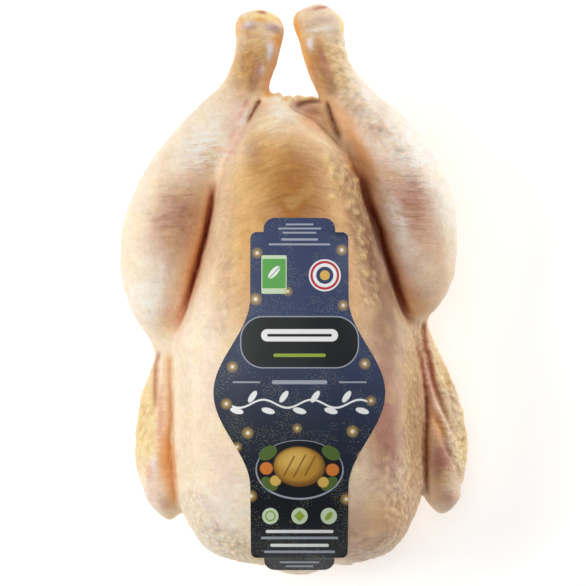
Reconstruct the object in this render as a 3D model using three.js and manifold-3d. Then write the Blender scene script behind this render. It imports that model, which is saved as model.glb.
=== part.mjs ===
// A whole raw capon, plucked and drawn, lying on its back with the breast up,
// and the printed card label that is laid over the breast.
// Millimetres, +Z up. +Y runs from the neck to the drumstick ends, +X is the
// right of a view from above. The bird rests on the plane z = 0.
import * as THREE from "three";
import { mergeVertices } from "three/addons/utils/BufferGeometryUtils.js";
import Module from "manifold-3d";

// Driving dimensions
const gridStep = 7.2; // spacing of the lattice that the skin is drawn on
const gridLow = new THREE.Vector3(-126, -204, -26);
const gridHigh = new THREE.Vector3(126, 202, 166);
const breastFold = 9; // rounding of the fold between breast and leg
const knuckleFold = 4; // rounding between a hock and its two knuckles
const skinFold = 12; // rounding where skin runs over from one form to the next
const wingFold = 4; // rounding of the creases between the folded wing bones and beside the belly
const segmentsPerStation = 4;
const slopeReach = 0.4; // how far apart the distances are read for a slope

// Body: [y, middle x, half width, top z, widest z, bottom z] from neck to vent.
const bodyStations = [
  [-180, 4, 6, 66, 54, 40],
  [-178.5, 4, 32, 84, 57, 26],
  [-175, 4, 49, 98, 61, 14],
  [-168, 4, 62, 110, 64, 3],
  [-156, 4, 71, 123, 66, -5],
  [-140, 4, 76, 134, 67, -10],
  [-105, 3, 78, 146, 67, -13],
  [-70, 2, 79, 151, 66, -13],
  [-33, 0, 77, 151, 66, -13],
  [0, -0.5, 66.5, 148, 68, -12],
  [30, -1.3, 56.5, 142, 72, -9],
  [60, -2.8, 49, 132, 76, -2],
  [85, -4, 40, 120, 78, 10],
  [103, -6, 28, 108, 78, 36],
  [116, -9, 16, 98, 78, 54],
  [125, -12, 5, 86, 77, 68],
];
const bodyFullness = 2.25; // 2 gives oval sections, more gives squarer ones

// Limbs: [x, y, z, radius across, radius up] along each bone.
const legLeft = [
  [-22, 171, 84, 14, 13],
  [-23, 158, 83, 15, 14],
  [-28, 140, 80, 14, 14],
  [-37.5, 123.5, 77, 14.5, 15.5],
  [-50, 108.5, 74, 17, 20],
  [-61.5, 93, 70, 20, 26],
  [-71.5, 76, 66, 23.5, 32],
  [-79.5, 59, 62, 26, 37],
  [-85, 33, 58, 29, 41],
  [-88.5, 7, 54, 24.5, 42],
  [-89, -12, 49, 17, 36],
  [-86, -27, 46, 10, 24],
];
const legRight = [
  [16, 173, 84, 14.5, 13],
  [18.5, 158, 83, 15, 14],
  [23.5, 142, 80, 14.5, 14],
  [33, 128, 77, 15, 15],
  [42, 116, 75, 17, 18],
  [52, 104.5, 72, 20, 23],
  [63.5, 87, 68, 24, 30],
  [75, 65.5, 64, 26.5, 36],
  [80, 42, 60, 28, 40],
  [82.5, 19, 56, 24, 41],
  [82, 2, 51, 17.5, 36],
  [78, -13, 48, 9.5, 25],
];
const upperArmLeft = [
  [-60, -130, 60, 16, 26],
  [-67, -92, 57, 13, 23],
  [-75, -56, 51, 10, 18],
  [-81, -38, 46, 7, 13],
];
const upperArmRight = [
  [64, -130, 60, 16, 26],
  [72, -92, 57, 13, 23],
  [77, -56, 51, 10, 18],
  [79, -34, 46, 7, 13],
];
const forearmLeft = [
  [-83, -42, 45, 7, 12],
  [-86, -62, 43, 10, 14],
  [-86, -86, 42, 11.5, 17],
  [-87, -112, 41, 14, 20],
  [-86, -134, 40, 13, 18],
  [-82, -147, 38, 7, 11],
];
const forearmRight = [
  [80.5, -35, 45, 7, 12],
  [88, -64, 44, 10, 14],
  [92, -90, 43, 12, 17],
  [95, -116, 42, 15, 20],
  [98, -132, 40, 13, 18],
  [98, -143, 38, 6, 10],
];
const handLeft = [
  [-86, -43, 38, 4.5, 8],
  [-94.5, -68, 31, 6.5, 12],
  [-98, -98, 28, 7.5, 14],
  [-97, -122, 27, 7.5, 14],
  [-91, -138, 29, 7, 12],
];
const handRight = [
  [85, -28, 39, 4.5, 8],
  [95, -54, 34, 7.5, 12],
  [104, -80, 30, 8.5, 15],
  [108, -106, 28, 8.5, 15],
  [106, -126, 29, 7.5, 13],
];

// Oval masses: [x, y, z] and their radii.
const thighLeft = { at: [-58, 22, 30], radii: [44, 62, 36] };
const thighRight = { at: [54, 19, 30], radii: [42, 54, 36] };
const belly = { at: [9, 86, 52], radii: [37, 42, 36] };
const tail = { at: [2, 106, 22], radii: [20, 22, 12] };
const vent = { at: [4, 134, 38], radii: [15, 13, 7] }; // a dimple, not flesh
const neckSkin = { at: [3, -167, 56], radii: [29, 20, 32] };
const condyleUp = 2; // how far the two knuckles of a hock stand above its middle
const condyleRadii = [9, 8, 11];
const condylesLeft = [
  [-31, 172, 83],
  [-13, 169, 83],
];
const condylesRight = [
  [6, 174, 83],
  [25, 171, 83],
];

// Label: sizes of the flat card as it shows from above.
const label = {
  middleX: 3.4,
  topY: 45.5,
  bottomY: -181,
  tabHalf: 22.6, // narrow tongues at both ends
  tabLength: 9,
  tabCorner: 7,
  neckHalf: 31, // straight parts above and below the round middle
  neckCorner: 4,
  middleHalf: 54.3,
  middleY: -65,
  waveReach: 60, // from the middle to where the straight parts begin
  thickness: 0.5,
  clearance: 0.8,
  steepest: 1.6, // most that the card drops per mm at its ends
  lowest: 40, // no part of the breast below the card is lower
  lookAhead: 40, // how far towards its middle the card is held up, and in what steps
  lookStep: 2,
  rowStep: 8,
  columns: 12,
};

// Smooth union of two signed distances.
function blend(a, b, rounding) {
  const overlap = Math.max(rounding - Math.abs(a - b), 0) / rounding;
  return Math.min(a, b) - (overlap * overlap * rounding) / 4;
}

// Cubic interpolation of table rows whose first column is the key.
function readStations(rows, key) {
  const last = rows.length - 1;
  let i = 0;
  while (i < last - 1 && key > rows[i + 1][0]) i += 1;
  const before = rows[Math.max(i - 1, 0)];
  const a = rows[i];
  const b = rows[i + 1];
  const after = rows[Math.min(i + 2, last)];
  const span = b[0] - a[0];
  const t = THREE.MathUtils.clamp((key - a[0]) / span, 0, 1);
  return a.map((start, column) => {
    const end = b[column];
    const slopeA = ((end - before[column]) / (b[0] - before[0])) * span;
    const slopeB = ((after[column] - start) / (after[0] - a[0])) * span;
    return (
      start * (2 * t ** 3 - 3 * t ** 2 + 1) +
      slopeA * (t ** 3 - 2 * t ** 2 + t) +
      end * (3 * t ** 2 - 2 * t ** 3) +
      slopeB * (t ** 3 - t ** 2)
    );
  });
}

// Signed distance, near enough, to the sections of the body.
function bodyDistance(p) {
  const first = bodyStations[0][0];
  const last = bodyStations[bodyStations.length - 1][0];
  const y = THREE.MathUtils.clamp(p.y, first, last);
  const [, middle, half, top, widest, bottom] = readStations(bodyStations, y);
  const up = p.z > widest ? top - widest : widest - bottom;
  const across = Math.abs(p.x - middle) / half;
  const rise = Math.abs(p.z - widest) / up;
  const ring = (across ** bodyFullness + rise ** bodyFullness) ** (1 / bodyFullness);
  const inPlane = (ring - 1) * Math.min(half, up);
  const past = Math.abs(p.y - y);
  return past > 0 ? Math.hypot(Math.max(inPlane, 0), past) : inPlane;
}

function ovalDistance(p, { at, radii }) {
  const [x, y, z] = [0, 1, 2].map((i) => (p.getComponent(i) - at[i]) / radii[i]);
  return (Math.hypot(x, y, z) - 1) * Math.min(...radii);
}

// A limb's stations joined by a smooth curve and cut into short links.
function makeLimb(stations) {
  const path = new THREE.CatmullRomCurve3(stations.map(([x, y, z]) => new THREE.Vector3(x, y, z)));
  const size = new THREE.CatmullRomCurve3(stations.map((s) => new THREE.Vector3(s[3], s[4], 0)));
  const count = (stations.length - 1) * segmentsPerStation;
  const links = [];
  for (let i = 0; i < count; i += 1) {
    const from = path.getPoint(i / count);
    const along = path.getPoint((i + 1) / count).sub(from);
    const side = new THREE.Vector3(along.y, -along.x, 0).normalize();
    const up = new THREE.Vector3().crossVectors(side, along).normalize();
    const radii = [size.getPoint(i / count), size.getPoint((i + 1) / count)];
    links.push({ from, along, side, up, radii });
  }
  return links;
}

function limbDistance(p, links) {
  let nearest = Infinity;
  const offset = new THREE.Vector3();
  for (const { from, along, side, up, radii } of links) {
    offset.subVectors(p, from);
    const t = THREE.MathUtils.clamp(offset.dot(along) / along.lengthSq(), 0, 1);
    offset.addScaledVector(along, -t);
    const across = THREE.MathUtils.lerp(radii[0].x, radii[1].x, t);
    const high = THREE.MathUtils.lerp(radii[0].y, radii[1].y, t);
    const cap = offset.dot(along) / along.length() / Math.min(across, high);
    const ring = Math.hypot(offset.dot(side) / across, offset.dot(up) / high, cap);
    nearest = Math.min(nearest, (ring - 1) * Math.min(across, high));
  }
  return nearest;
}

const limbs = {
  legLeft: makeLimb(legLeft),
  legRight: makeLimb(legRight),
  upperArmLeft: makeLimb(upperArmLeft),
  upperArmRight: makeLimb(upperArmRight),
  forearmLeft: makeLimb(forearmLeft),
  forearmRight: makeLimb(forearmRight),
  handLeft: makeLimb(handLeft),
  handRight: makeLimb(handRight),
};

function legDistance(p, leg, condyles, thigh) {
  let distance = limbDistance(p, leg);
  for (const [x, y, z] of condyles) {
    const knuckle = { at: [x, y, z + condyleUp], radii: condyleRadii };
    distance = blend(distance, ovalDistance(p, knuckle), knuckleFold);
  }
  return blend(distance, ovalDistance(p, thigh), skinFold);
}

function wingDistance(p, forearm, hand) {
  return blend(limbDistance(p, forearm), limbDistance(p, hand), wingFold);
}

// The whole bird before its back is pressed flat.
function birdDistance(p) {
  let trunk = blend(bodyDistance(p), ovalDistance(p, belly), wingFold);
  trunk = blend(trunk, ovalDistance(p, tail), skinFold);
  trunk = -blend(-trunk, ovalDistance(p, vent), skinFold);
  trunk = blend(trunk, ovalDistance(p, neckSkin), skinFold);
  trunk = blend(trunk, limbDistance(p, limbs.upperArmLeft), skinFold);
  trunk = blend(trunk, limbDistance(p, limbs.upperArmRight), skinFold);
  const wings = Math.min(
    wingDistance(p, limbs.forearmLeft, limbs.handLeft),
    wingDistance(p, limbs.forearmRight, limbs.handRight),
  );
  const legs = Math.min(
    legDistance(p, limbs.legLeft, condylesLeft, thighLeft),
    legDistance(p, limbs.legRight, condylesRight, thighRight),
  );
  return blend(blend(trunk, wings, wingFold), legs, breastFold);
}

function slopeAt(p) {
  const slope = new THREE.Vector3();
  const probe = new THREE.Vector3();
  for (let axis = 0; axis < 3; axis += 1) {
    probe.copy(p).setComponent(axis, p.getComponent(axis) + slopeReach);
    const ahead = birdDistance(probe);
    probe.setComponent(axis, p.getComponent(axis) - slopeReach);
    slope.setComponent(axis, (ahead - birdDistance(probe)) / (2 * slopeReach));
  }
  return slope;
}

// Moves a point onto the skin along the slope of the distance, inside its cell.
function settle(p, corner) {
  const margin = gridStep / 25;
  const low = corner.clone().addScalar(margin);
  const high = corner.clone().addScalar(gridStep - margin);
  for (let round = 0; round < 4; round += 1) {
    const slope = slopeAt(p);
    p.addScaledVector(slope, -birdDistance(p) / Math.max(slope.lengthSq(), 0.1));
    p.clamp(low, high);
  }
  return p;
}

// Where only opposite corners of a lattice face are flesh, the skin would touch
// itself along an edge, so a third corner of that face becomes flesh as well.
function closeNarrowGaps(values, count, index) {
  const flesh = -0.05 * gridStep;
  let changed = true;
  while (changed) {
    changed = false;
    for (let k = 0; k < count[2] - 1; k += 1)
      for (let j = 0; j < count[1] - 1; j += 1)
        for (let i = 0; i < count[0] - 1; i += 1)
          for (let axis = 0; axis < 3; axis += 1) {
            const face = [[0, 0], [1, 0], [1, 1], [0, 1]].map(([u, v]) => {
              const at = [i, j, k];
              at[(axis + 1) % 3] += u;
              at[(axis + 2) % 3] += v;
              return index(...at);
            });
            const [a, b, c, d] = face.map((n) => values[n] < 0);
            if (a !== c || b !== d || a === b) continue;
            const outside = a ? [face[1], face[3]] : [face[0], face[2]];
            outside.sort((m, n) => values[m] - values[n]);
            values[outside[0]] = flesh;
            changed = true;
          }
  }
}

// Skin as one closed surface: a point in each lattice cell that the skin
// crosses, and a quad round each lattice edge that it crosses.
function makeSkin() {
  const size = gridHigh.clone().sub(gridLow);
  const count = size.toArray().map((length) => Math.ceil(length / gridStep) + 1);
  const index = (i, j, k) => (k * count[1] + j) * count[0] + i;
  const corner = (i, j, k) => new THREE.Vector3(i, j, k).multiplyScalar(gridStep).add(gridLow);
  const values = new Float64Array(count[0] * count[1] * count[2]);
  for (let k = 0; k < count[2]; k += 1)
    for (let j = 0; j < count[1]; j += 1)
      for (let i = 0; i < count[0]; i += 1) values[index(i, j, k)] = birdDistance(corner(i, j, k));
  closeNarrowGaps(values, count, index);

  const points = [];
  const pointOf = new Map();
  const pointInCell = (i, j, k) => {
    const key = index(i, j, k);
    if (pointOf.has(key)) return pointOf.get(key);
    const middle = new THREE.Vector3();
    let crossings = 0;
    for (let axis = 0; axis < 3; axis += 1)
      for (let side = 0; side < 4; side += 1) {
        const start = [i, j, k];
        start[(axis + 1) % 3] += side & 1;
        start[(axis + 2) % 3] += side >> 1;
        const end = [...start];
        end[axis] += 1;
        const a = values[index(...start)];
        const b = values[index(...end)];
        if (a < 0 === b < 0) continue;
        middle.add(corner(...start).lerp(corner(...end), a / (a - b)));
        crossings += 1;
      }
    middle.divideScalar(crossings);
    points.push(settle(middle, corner(i, j, k)));
    pointOf.set(key, points.length - 1);
    return points.length - 1;
  };

  const triangles = [];
  for (let k = 1; k < count[2] - 1; k += 1)
    for (let j = 1; j < count[1] - 1; j += 1)
      for (let i = 1; i < count[0] - 1; i += 1)
        for (let axis = 0; axis < 3; axis += 1) {
          const end = [i, j, k];
          end[axis] += 1;
          const inside = values[index(i, j, k)] < 0;
          if (inside === values[index(...end)] < 0) continue;
          const ring = [[0, 0], [-1, 0], [-1, -1], [0, -1]].map(([u, v]) => {
            const cell = [i, j, k];
            cell[(axis + 1) % 3] += u;
            cell[(axis + 2) % 3] += v;
            return pointInCell(...cell);
          });
          if (!inside) ring.reverse();
          const [a, b, c, d] = ring.map((n) => points[n]);
          if (a.distanceTo(c) < b.distanceTo(d))
            triangles.push(ring[0], ring[1], ring[2], ring[0], ring[2], ring[3]);
          else triangles.push(ring[1], ring[2], ring[3], ring[1], ring[3], ring[0]);
        }
  return new THREE.BufferGeometry().setFromPoints(points).setIndex(triangles);
}

const wasm = await Module();
wasm.setup();

function toSolid(geometry) {
  const bare = geometry.clone();
  for (const name of Object.keys(bare.attributes)) if (name !== "position") bare.deleteAttribute(name);
  const merged = mergeVertices(bare, 1e-4);
  return new wasm.Manifold(
    new wasm.Mesh({
      numProp: 3,
      vertProperties: new Float32Array(merged.attributes.position.array),
      triVerts: new Uint32Array(merged.index.array),
    }),
  );
}

function toGeometry(solid) {
  const mesh = solid.getMesh();
  return new THREE.BufferGeometry()
    .setAttribute("position", new THREE.BufferAttribute(mesh.vertProperties, 3))
    .setIndex(new THREE.BufferAttribute(mesh.triVerts, 1));
}

// The bird with its back pressed flat on the plane z = 0.
function makeBird() {
  const depth = 40;
  const reach = 600;
  const floor = new THREE.BoxGeometry(reach, reach, depth).translate(0, 0, -depth / 2);
  return toGeometry(toSolid(makeSkin()).subtract(toSolid(floor)));
}

// Half the width of the label at a height on the card.
function labelHalf(y) {
  const { topY, bottomY, tabHalf, tabLength, tabCorner, neckHalf, neckCorner } = label;
  const fromEnd = Math.min(topY - y, y - bottomY);
  const corner = (distance, radius) => {
    const left = Math.max(radius - distance, 0);
    return radius - Math.sqrt(Math.max(radius * radius - left * left, 0));
  };
  if (fromEnd < tabLength) return tabHalf - corner(fromEnd, tabCorner);
  const neck = neckHalf - corner(fromEnd - tabLength, neckCorner);
  const wave = Math.min(Math.abs(y - label.middleY) / label.waveReach, 1);
  return neck + (label.middleHalf - neckHalf) * (0.5 + 0.5 * Math.cos(Math.PI * wave));
}

// Heights of the label's rows, closer together round its corners.
function labelRows() {
  const { topY, bottomY, tabLength, tabCorner, neckCorner, rowStep } = label;
  const arc = (radius) => [0, 0.12, 0.45].map((share) => share * radius);
  const nearEnd = [...arc(tabCorner), tabCorner, tabLength - 0.2];
  nearEnd.push(...arc(neckCorner).map((d) => d + tabLength), tabLength + neckCorner);
  const rows = nearEnd.map((d) => topY - d);
  const start = topY - tabLength - neckCorner;
  const end = bottomY + tabLength + neckCorner;
  const count = Math.round((start - end) / rowStep);
  for (let i = 1; i < count; i += 1) rows.push(start + ((end - start) * i) / count);
  return rows.concat(nearEnd.reverse().map((d) => bottomY + d));
}

// Height of the breast's skin at a point of the view from above.
function skinHeight(x, y) {
  const halvings = 22;
  let low = label.lowest;
  let high = gridHigh.z;
  for (let round = 0; round < halvings; round += 1) {
    const middle = (low + high) / 2;
    if (birdDistance(new THREE.Vector3(x, y, middle)) < 0) low = middle;
    else high = middle;
  }
  return low;
}

// Height of the card straight above or below a point. It is too stiff to bend
// down sharply, so it stands off where the breast ends steeply at the neck.
function cardHeight(x, y) {
  let height = skinHeight(x, y);
  const towardsMiddle = Math.sign(label.middleY - y);
  for (let ahead = label.lookStep; ahead <= label.lookAhead; ahead += label.lookStep) {
    const inward = skinHeight(x, y + towardsMiddle * ahead);
    height = Math.max(height, inward - label.steepest * ahead);
  }
  return height;
}

// A thin card whose two faces have the same triangles.
function makeLabel() {
  const { middleX, thickness, clearance, columns } = label;
  const rows = labelRows();
  const positions = [];
  for (const lift of [clearance, clearance + thickness])
    for (const y of rows)
      for (let i = 0; i <= columns; i += 1) {
        const x = middleX + labelHalf(y) * ((2 * i) / columns - 1);
        const height = cardHeight(x, y);
        const slope = slopeAt(new THREE.Vector3(x, y, height)).normalize();
        positions.push(x, y, height + lift / Math.max(slope.z, 0.4));
      }
  const perRow = columns + 1;
  const perFace = perRow * rows.length;
  const triangles = [];
  const quad = (a, b, c, d) => triangles.push(a, b, c, a, c, d);
  for (let r = 0; r < rows.length - 1; r += 1)
    for (let i = 0; i < columns; i += 1) {
      const a = r * perRow + i;
      const b = a + perRow;
      triangles.push(a, a + 1, b + 1, a, b + 1, b);
      triangles.push(a + perFace, b + 1 + perFace, a + 1 + perFace);
      triangles.push(a + perFace, b + perFace, b + 1 + perFace);
    }
  const rim = [];
  for (let i = 0; i < columns; i += 1) rim.push(i);
  for (let r = 0; r < rows.length - 1; r += 1) rim.push(r * perRow + columns);
  for (let i = columns; i > 0; i -= 1) rim.push((rows.length - 1) * perRow + i);
  for (let r = rows.length - 1; r > 0; r -= 1) rim.push(r * perRow);
  rim.forEach((a, n) => {
    const b = rim[(n + 1) % rim.length];
    quad(b, a, a + perFace, b + perFace);
  });
  const geometry = new THREE.BufferGeometry();
  geometry.setAttribute("position", new THREE.Float32BufferAttribute(positions, 3));
  return geometry.setIndex(triangles);
}

function makeMesh(name, geometry, color, roughness) {
  const material = new THREE.MeshStandardMaterial({ color, roughness, metalness: 0 });
  const mesh = new THREE.Mesh(geometry, material);
  mesh.name = name;
  return mesh;
}

const capon = new THREE.Group();
capon.add(makeMesh("chicken", makeBird(), 0xe3c49a, 0.45));
capon.add(makeMesh("label", makeLabel(), 0x2b3550, 0.35));

export default capon;
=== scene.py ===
import math
import random

import bpy
import numpy as np
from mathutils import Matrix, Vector, kdtree, noise
from mathutils.bvhtree import BVHTree


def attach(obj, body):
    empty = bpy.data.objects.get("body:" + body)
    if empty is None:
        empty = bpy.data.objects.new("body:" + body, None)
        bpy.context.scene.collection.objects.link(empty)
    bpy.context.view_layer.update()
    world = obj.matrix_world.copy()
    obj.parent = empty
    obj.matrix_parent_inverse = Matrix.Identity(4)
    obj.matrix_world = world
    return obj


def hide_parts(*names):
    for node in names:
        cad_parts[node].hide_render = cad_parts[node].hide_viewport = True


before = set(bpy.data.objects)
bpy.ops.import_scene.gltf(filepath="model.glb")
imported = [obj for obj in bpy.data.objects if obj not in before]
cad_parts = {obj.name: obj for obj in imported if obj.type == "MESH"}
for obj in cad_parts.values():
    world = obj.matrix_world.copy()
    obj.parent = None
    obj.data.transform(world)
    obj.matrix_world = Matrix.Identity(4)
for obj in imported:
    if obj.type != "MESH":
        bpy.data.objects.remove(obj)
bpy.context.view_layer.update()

# Metres, +Z up, back on the floor and breast up. Paths and places called seen are
# millimetres in the view from above, true at the height of the hocks.
mm = 0.001
bpy.ops.object.select_all(action="DESELECT")
random.seed(11)

cameraSet = {
    "middle": (-0.65 * mm, -1.95 * mm),
    "height": 2.08,  # above the floor
    "sharpHeight": 0.08,  # where seen millimetres are true
    "widthSeen": 0.3809,
    "sensor": 36.0,
}


def addCamera():
    reach = cameraSet["height"] - cameraSet["sharpHeight"]
    bpy.ops.object.camera_add(location=(*cameraSet["middle"], cameraSet["height"]), rotation=(0, 0, 0))
    camera = bpy.context.object
    camera.name = "camera"
    camera.data.sensor_width = cameraSet["sensor"]
    camera.data.lens = cameraSet["sensor"] * reach / cameraSet["widthSeen"]
    bpy.context.scene.camera = camera


def readValues(items, key):
    values = np.empty(len(items) * 3, np.float32)
    items.foreach_get(key, values)
    return values.reshape(-1, 3).astype(float)


def readShape(mesh):
    return readValues(mesh.vertices, "co"), readValues(mesh.vertex_normals, "vector")


def writePoints(mesh, points):
    mesh.vertices.foreach_set("co", points.astype(np.float32).ravel())
    mesh.update()


def writeColours(mesh, name, colours):
    layer = mesh.attributes.new(name, "FLOAT_COLOR", "POINT")
    values = np.ones((len(colours), 4), np.float32)
    values[:, :3] = colours
    layer.data.foreach_set("color", values.ravel())


def seenFrom(points):
    reach = cameraSet["height"] - cameraSet["sharpHeight"]
    scale = reach / (cameraSet["height"] - points[:, 2])
    return points[:, :2] * scale[:, None] / mm


def smoothStep(value, low, high):
    t = np.clip((value - low) / (high - low), 0, 1)
    return t * t * (3 - 2 * t)


def linear(colour):
    share = np.array(colour, float) / 255
    return np.where(share <= 0.04045, share / 12.92, ((share + 0.055) / 1.055) ** 2.4)


def grain(points, size, shift=0.0):
    # Soft noise between about -1 and 1, with lumps of the given size
    return np.array([noise.noise(Vector(p)) for p in points / size + shift]) * 1.6


def roundedPath(corners, steps=6):
    corners = np.array(corners, float)
    if len(corners) < 3:
        return corners
    ends = np.vstack([2 * corners[0] - corners[1], corners, 2 * corners[-1] - corners[-2]])
    path = []
    for i in range(1, len(ends) - 2):
        a, b, c, d = ends[i - 1:i + 3]
        for t in np.arange(steps) / steps:
            path.append(0.5 * (2 * b + (c - a) * t + (2 * a - 5 * b + 4 * c - d) * t**2
                               + (3 * b - a - 3 * c + d) * t**3))
    path.append(corners[-1])
    return np.array(path)


def alongPath(places, corners, reach):
    # For each place: distance to the path, share of the way along it, and side of it
    path = roundedPath(corners)
    lengths = np.linalg.norm(np.diff(path, axis=0), axis=1)
    start = np.concatenate([[0], np.cumsum(lengths)])
    found = np.zeros((3, len(places)))
    found[0] = np.inf
    near = np.flatnonzero(np.all((places >= path.min(0) - reach) & (places <= path.max(0) + reach), axis=1))
    best = found[:, near]
    for i, length in enumerate(lengths):
        along = (path[i + 1] - path[i]) / length
        away = places[near] - path[i]
        t = np.clip(away @ along, 0, length)
        offset = away - t[:, None] * along
        distance = np.linalg.norm(offset, axis=1)
        side = np.sign(along[0] * offset[:, 1] - along[1] * offset[:, 0])
        closer = distance < best[0]
        best[:, closer] = np.array([distance, (start[i] + t) / start[-1], side])[:, closer]
    found[:, near] = best
    return found


def fadeEnds(share, fade):
    return smoothStep(share, 0, fade[0]) * smoothStep(1 - share, 0, fade[1])


def ovalWeight(places, at, size, turn=0.0):
    # 1 at the middle of an oval, fading out round its edge
    angle = math.radians(turn)
    dx, dy = places[:, 0] - at[0], places[:, 1] - at[1]
    u = (dx * math.cos(angle) + dy * math.sin(angle)) / size[0]
    v = (-dx * math.sin(angle) + dy * math.cos(angle)) / size[1]
    return np.exp(-1.6 * (u * u + v * v) ** 1.3)


# Skin: the whole bird

skinSet = {
    "roughVoxel": 0.0018,
    "fineVoxel": 0.0014,
    "roughSmoothing": 16,
    "fineSmoothing": 3,
    "trianglesKept": 186000,
}

legFoldLeft = [(-50.7, 76), (-52.6, 61.8), (-54.0, 52.0), (-56.6, 37.7), (-59.8, 26.0), (-63.7, 12.3),
               (-67.6, -2.6), (-72.2, -16.2), (-77.4, -26.7), (-80.6, -35)]
tipFoldLeft = [(-18.2, 126.8), (-23.4, 118.3), (-29.9, 109.2), (-34.5, 101.4), (-37.7, 94.9),
               (-44.9, 82.5), (-50.7, 72.8)]
tendonGap = [(-21.5, 125), (-24.2, 119.6), (-28.0, 113.2), (-31.6, 107.2)]
flapEdge = [(20.5, 124.5), (23.8, 116), (27.9, 104.0), (31.5, 94.5)]
flapTop = [(0.5, 117.2), (4.5, 120.8), (11.5, 122.6), (19.5, 122.4)]
legFoldRight = [(32.0, 92.0), (37.1, 81.2), (43.6, 71.5), (47.5, 58.5), (52.6, 45.5), (57.2, 32.5),
                (61.1, 19.5), (65.0, 6.5), (69.5, -6.5), (74.1, -19.5), (76.0, -28.0)]
bellyFold = [(-7.2, 122.9), (2.0, 117.0), (12.3, 111.2), (20.8, 104.0), (27.9, 96.2), (33, 89)]
wingCreaseRight = [(84.5, -19), (85.2, -35.8), (87.8, -44.2), (91.0, -59.1), (93.6, -67.0),
                   (98.2, -80.0), (103.4, -93.0), (107.9, -101.4)]
wingGrooveRight = [(89.5, -78), (94.9, -88.4), (98.8, -101.4), (103.4, -109.9), (107.9, -120.9),
                   (108.5, -133)]
bodyGapRight = [(78.0, -26.0), (81.2, -39.0), (84.0, -53.3), (86.0, -67.6), (87, -78.0), (85.8, -92),
                (85.8, -110), (86.5, -130), (87, -138)]
wingCreaseLeft = [(-86.4, -38), (-89.4, -48.0), (-90.4, -67.6), (-91.0, -76.7), (-94.2, -84.5)]
bodyGapLeft = [(-80.6, -36.0), (-81, -52.0), (-80.5, -71.5), (-80.2, -84.5), (-80.6, -100.0),
               (-79.3, -117.0), (-78.0, -130.0), (-77, -147)]
wingGrooveLeft = [(-91.0, -78), (-92.3, -96.2), (-94.2, -109.2), (-93.6, -124)]

# Folds: path, depth and half width in mm, fade at both ends, lowest height in m,
# and how far the fold goes straight down rather than square to the skin
folds = [
    (legFoldLeft, 12, 2.5, (0.25, 0.45), 0.05, 1.0),
    (tipFoldLeft, 1.5, 1.8, (0.1, 0.5), 0.05, 1.0),
    (tendonGap, 7, 1.5, (0.15, 0.3), 0.05, 1.0),
    (legFoldRight, 12, 2.9, (0.35, 0.15), 0.05, 1.0),
    (flapEdge, 9, 1.7, (0.15, 0.35), 0.05, 1.0),
    (flapTop, 5, 1.3, (0.25, 0.25), 0.05, 0.7),
    (bellyFold, 4.5, 1.8, (0.2, 0.2), 0.05, 1.0),
    (wingCreaseRight, 7, 1.9, (0.1, 0.4), 0.02, 0.5),
    (wingGrooveRight, 3.5, 1.6, (0.15, 0.4), 0.02, 0.3),
    (bodyGapRight, 7, 1.8, (0.15, 0.2), 0.02, 0.7),
    ([(98.0, -57), (101.5, -63), (106, -67.6)], 2.2, 1.5, (0.3, 0.3), 0.02, 0.4),
    ([(100.5, -70), (105, -73.5), (110, -76.7)], 2.0, 1.4, (0.3, 0.3), 0.02, 0.4),
    ([(93.5, -46), (97.5, -55), (100.5, -66), (105.5, -80), (109, -90)], 1.8, 1.6, (0.2, 0.3), 0.02, 0.4),
    (wingCreaseLeft, 6, 1.9, (0.2, 0.3), 0.02, 0.5),
    (bodyGapLeft, 6, 2.2, (0.15, 0.15), 0.02, 0.7),
    (wingGrooveLeft, 2.5, 1.5, (0.3, 0.4), 0.02, 0.3),
]

# Ridges: path, height and half width in mm, fade at both ends, lowest height in m
ridges = [
    ([(83.5, -45), (88.4, -66.2), (91.7, -75.4), (98.2, -88.4), (104.7, -99.5)], 1.6, 2.2, (0.2, 0.3), 0.02),
    ([(89.7, -82.5), (92.3, -91), (95.5, -107.2), (98.8, -126.8), (100, -141)], 2.0, 4.5, (0.3, 0.2), 0.02),
    ([(95.5, -52), (99, -68), (103, -80)], 1.4, 2.0, (0.2, 0.3), 0.02),
    ([(-84.5, -44), (-85.5, -66), (-86, -80), (-86, -92)], 1.6, 2.2, (0.2, 0.3), 0.02),
    ([(-97, -58), (-99, -72), (-98, -88)], 1.2, 2.4, (0.3, 0.3), 0.02),
    ([(-35.8, 171), (-20.8, 174.5), (-6.5, 170)], 1.2, 2.2, (0.15, 0.15), 0.05),
    ([(2.0, 171.5), (15.6, 176), (31.2, 172.5)], 1.2, 2.2, (0.15, 0.15), 0.05),
]

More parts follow.
